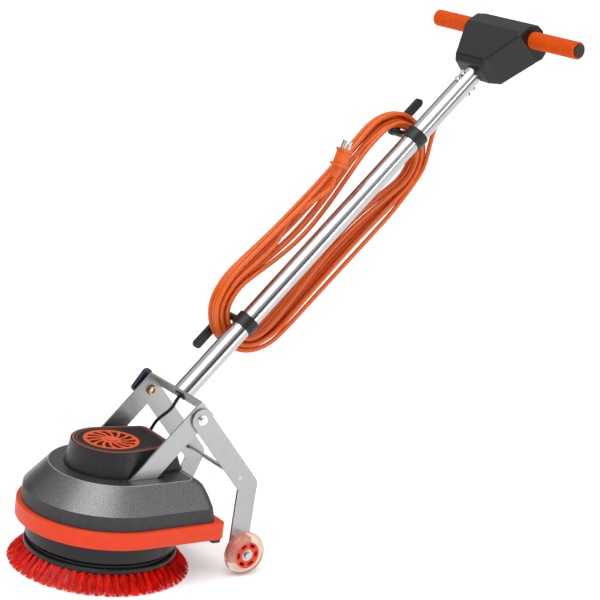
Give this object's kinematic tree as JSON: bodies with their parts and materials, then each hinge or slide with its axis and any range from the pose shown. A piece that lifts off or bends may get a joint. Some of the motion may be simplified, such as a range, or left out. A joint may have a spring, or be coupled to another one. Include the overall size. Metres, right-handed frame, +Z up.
{
  "type": "orbital floor scrubber",
  "caption": "Walk-behind orbital floor scrubber with a round brush, rubber bumper, tilting yoke handle, transport wheels and a wound mains cord.",
  "frame": {"origin": "on the floor under the middle of the machine without its cord, at z = 0", "axes": "+Z up, +Y towards the operator, +X to the left of someone who stands at the handle and faces the brush, which is the side with the plain bolt heads"},
  "size_m": [0.412, 0.9915, 1.0194],
  "materials": {
    "bumper": "satin",
    "housing_dark": "fine texture",
    "housing_metal": "metallic sparkle",
    "cover_dark": "coarse texture",
    "plate_print": "semi gloss",
    "vent_orange": "satin",
    "bristle": "fibrous",
    "block": "satin",
    "steel": "satin",
    "iron": "machined",
    "alu": "satin",
    "chrome": "polished",
    "brass": "plated",
    "black": "fine texture",
    "rubber": "matt",
    "grip": "textured",
    "cord": "satin",
    "tyre": "clear",
    "hub": "gloss",
    "navy": "gloss"
  },
  "bodies": {
    "base": {"bumper": "bumper", "bumper_feet": "rubber", "lower_housing": "housing_dark", "upper_housing": "housing_metal", "motor_cover": "cover_dark", "cover_grommet": "rubber", "top_plate": "plate_print", "vent_grille": "vent_orange", "motor_frame": "alu", "upper_end_bell": "alu", "stator": "steel", "motor_bearings": "steel", "pivot_brackets": "steel", "pivot_pins": "steel"},
    "rotor_set": {"rotor": "steel", "cooling_fan": "black", "eccentric_hub": "iron", "driver_bolt": "steel"},
    "brush": {"driver_bearing": "steel", "pad_driver": "block", "brush_block": "block", "brush_bristles": "bristle"},
    "handle": {"yoke_arm_right": "alu", "yoke_arm_left": "alu", "yoke_bridge": "alu", "bridge_grommet": "rubber", "motor_lead": "rubber", "handle_tube": "chrome", "handle_bolts": "steel", "handle_nuts": "steel", "lower_cord_hook": "black", "upper_hook_clamp": "black", "head_shell_right": "black", "head_shell_left": "black", "cord_gland": "rubber", "handlebar": "steel", "grip_right": "grip", "grip_left": "grip", "grip_caps": "black", "head_screws": "steel", "switch_bezel": "black", "cord_coil": "cord", "mains_lead": "cord", "plug_lead": "cord", "plug_body": "cord", "plug_blades": "chrome", "wheel_pivot_bolts": "chrome", "wheel_pivot_nuts": "brass"},
    "switch": {"rocker_switch": "black"},
    "hook_swivel": {"upper_cord_hook": "black"},
    "lock": {"lock_lever": "navy"},
    "wheel_frame": {"wheel_arm_right": "alu", "wheel_arm_left": "alu", "frame_rod": "steel", "wheel_bearings": "steel", "axle_bolts": "steel"},
    "wheel_right": {"wheel_tyre_right": "tyre", "wheel_hub_right": "hub"},
    "wheel_left": {"wheel_tyre_left": "tyre", "wheel_hub_left": "hub"}
  },
  "joints": [
    {"name": "motor_spin", "type": "hinge", "parent": "base", "child": "rotor_set", "pos_m": [0, -0.331, 0.15], "axis": [0, 0, 1], "continuous": true},
    {"name": "brush_orbit_spin", "type": "hinge", "parent": "rotor_set", "child": "brush", "pos_m": [0, -0.328, 0.06], "axis": [0, 0, 1], "continuous": true},
    {"name": "handle_tilt", "type": "hinge", "parent": "base", "child": "handle", "pos_m": [0, -0.336, 0.1576], "axis": [1, 0, 0], "range_deg": [-5, 43], "deforming": ["motor_lead"]},
    {"name": "wheel_frame_swing", "type": "hinge", "parent": "handle", "child": "wheel_frame", "pos_m": [0, -0.20425, 0.2874], "axis": [1, 0, 0], "range_deg": [0, 50]},
    {"name": "wheel_right_spin", "type": "hinge", "parent": "wheel_frame", "child": "wheel_right", "pos_m": [0.1375, -0.109, 0.04], "axis": [1, 0, 0], "continuous": true},
    {"name": "wheel_left_spin", "type": "hinge", "parent": "wheel_frame", "child": "wheel_left", "pos_m": [-0.1375, -0.109, 0.04], "axis": [1, 0, 0], "continuous": true},
    {"name": "lock_lever_turn", "type": "hinge", "parent": "handle", "child": "lock", "pos_m": [-0.105, -0.20425, 0.2874], "axis": [1, 0, 0], "range_deg": [-45, 0]},
    {"name": "hook_turn", "type": "hinge", "parent": "handle", "child": "hook_swivel", "pos_m": [-0.06, 0.2652, 0.78343], "axis": [1, 0, 0], "range_deg": [0, 180]},
    {"name": "switch_rock", "type": "hinge", "parent": "handle", "child": "switch", "pos_m": [0, 0.4455, 0.92637], "axis": [1, 0, 0], "range_deg": [-10, 0]}
  ]
}
